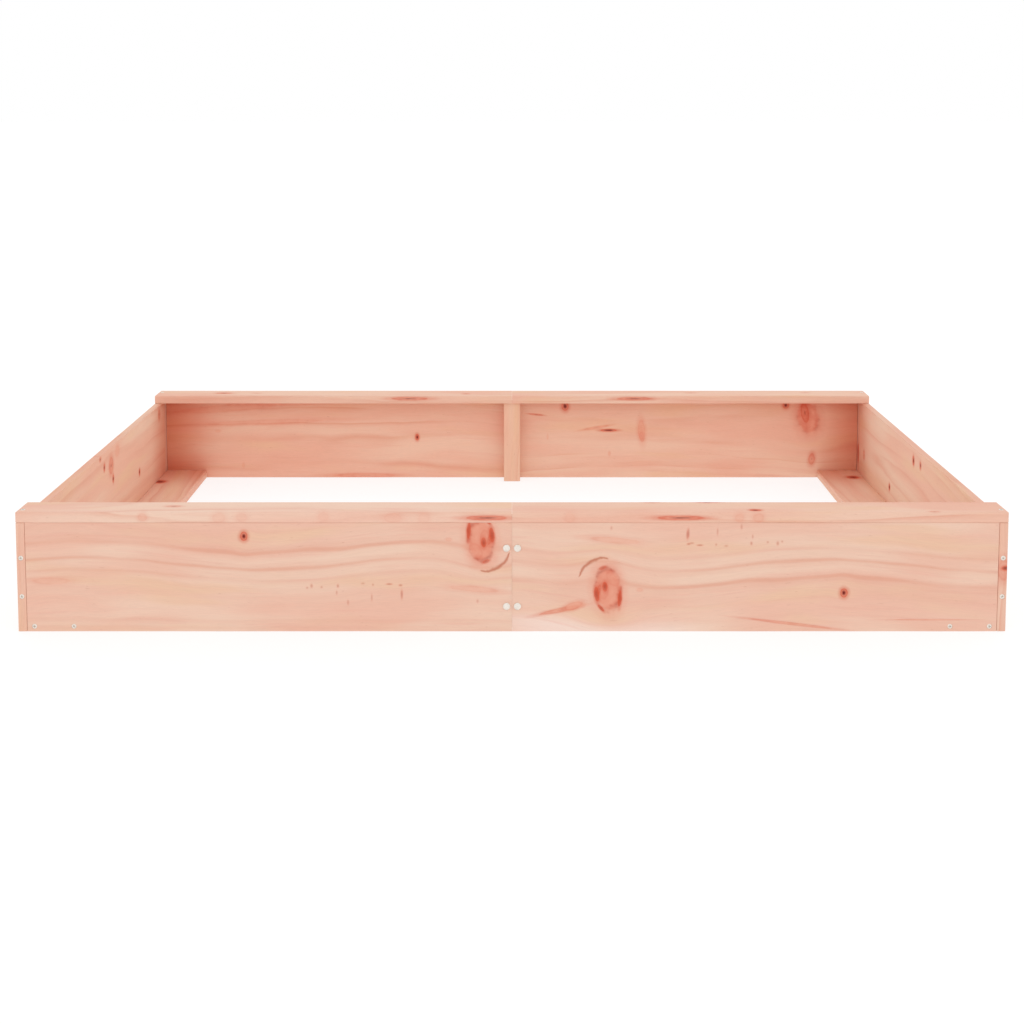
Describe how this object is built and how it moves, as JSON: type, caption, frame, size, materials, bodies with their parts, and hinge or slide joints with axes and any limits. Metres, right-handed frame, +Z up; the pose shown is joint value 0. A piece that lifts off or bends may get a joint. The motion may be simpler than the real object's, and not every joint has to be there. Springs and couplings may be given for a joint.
{
  "type": "wooden sandbox",
  "caption": "Open rectangular sandbox of softwood boards with corner posts, middle battens, bottom planks and cap rails on the two long sides.",
  "frame": {"origin": "on the ground, in the middle of the sandbox's footprint", "axes": "+Z up; +X along the long side, towards the right wall; +Y from the front wall to the back wall"},
  "size_m": [1.58, 0.7952, 0.195],
  "materials": {
    "wall_boards": "bare planed softwood, matt",
    "cap_rails": "bare planed softwood, matt",
    "corner_posts": "bare planed softwood, matt",
    "battens": "bare planed softwood, matt",
    "bottom_planks": "bare sawn softwood, matt",
    "dowels": "plain beech",
    "wood_screws": "zinc plated, satin",
    "joint_screws": "zinc plated, satin"
  },
  "bodies": {
    "root": {"front_board_left": "wall_boards", "front_board_right": "wall_boards", "back_board_left": "wall_boards", "back_board_right": "wall_boards", "side_board_left": "wall_boards", "side_board_right": "wall_boards", "front_cap_left": "cap_rails", "front_cap_right": "cap_rails", "back_cap_left": "cap_rails", "back_cap_right": "cap_rails", "corner_post_front_left": "corner_posts", "corner_post_front_right": "corner_posts", "corner_post_back_left": "corner_posts", "corner_post_back_right": "corner_posts", "front_joint_batten": "battens", "back_joint_batten": "battens", "bottom_plank_left": "bottom_planks", "bottom_plank_right": "bottom_planks", "front_cap_dowels": "dowels", "back_cap_dowels": "dowels", "front_post_screws": "wood_screws", "front_plank_screws": "wood_screws", "front_cap_screws": "wood_screws", "back_post_screws": "wood_screws", "back_plank_screws": "wood_screws", "back_cap_screws": "wood_screws", "left_corner_screws": "wood_screws", "left_plank_edge_screws": "wood_screws", "right_corner_screws": "wood_screws", "right_plank_edge_screws": "wood_screws", "front_joint_screws": "joint_screws", "back_joint_screws": "joint_screws"}
  },
  "joints": []
}
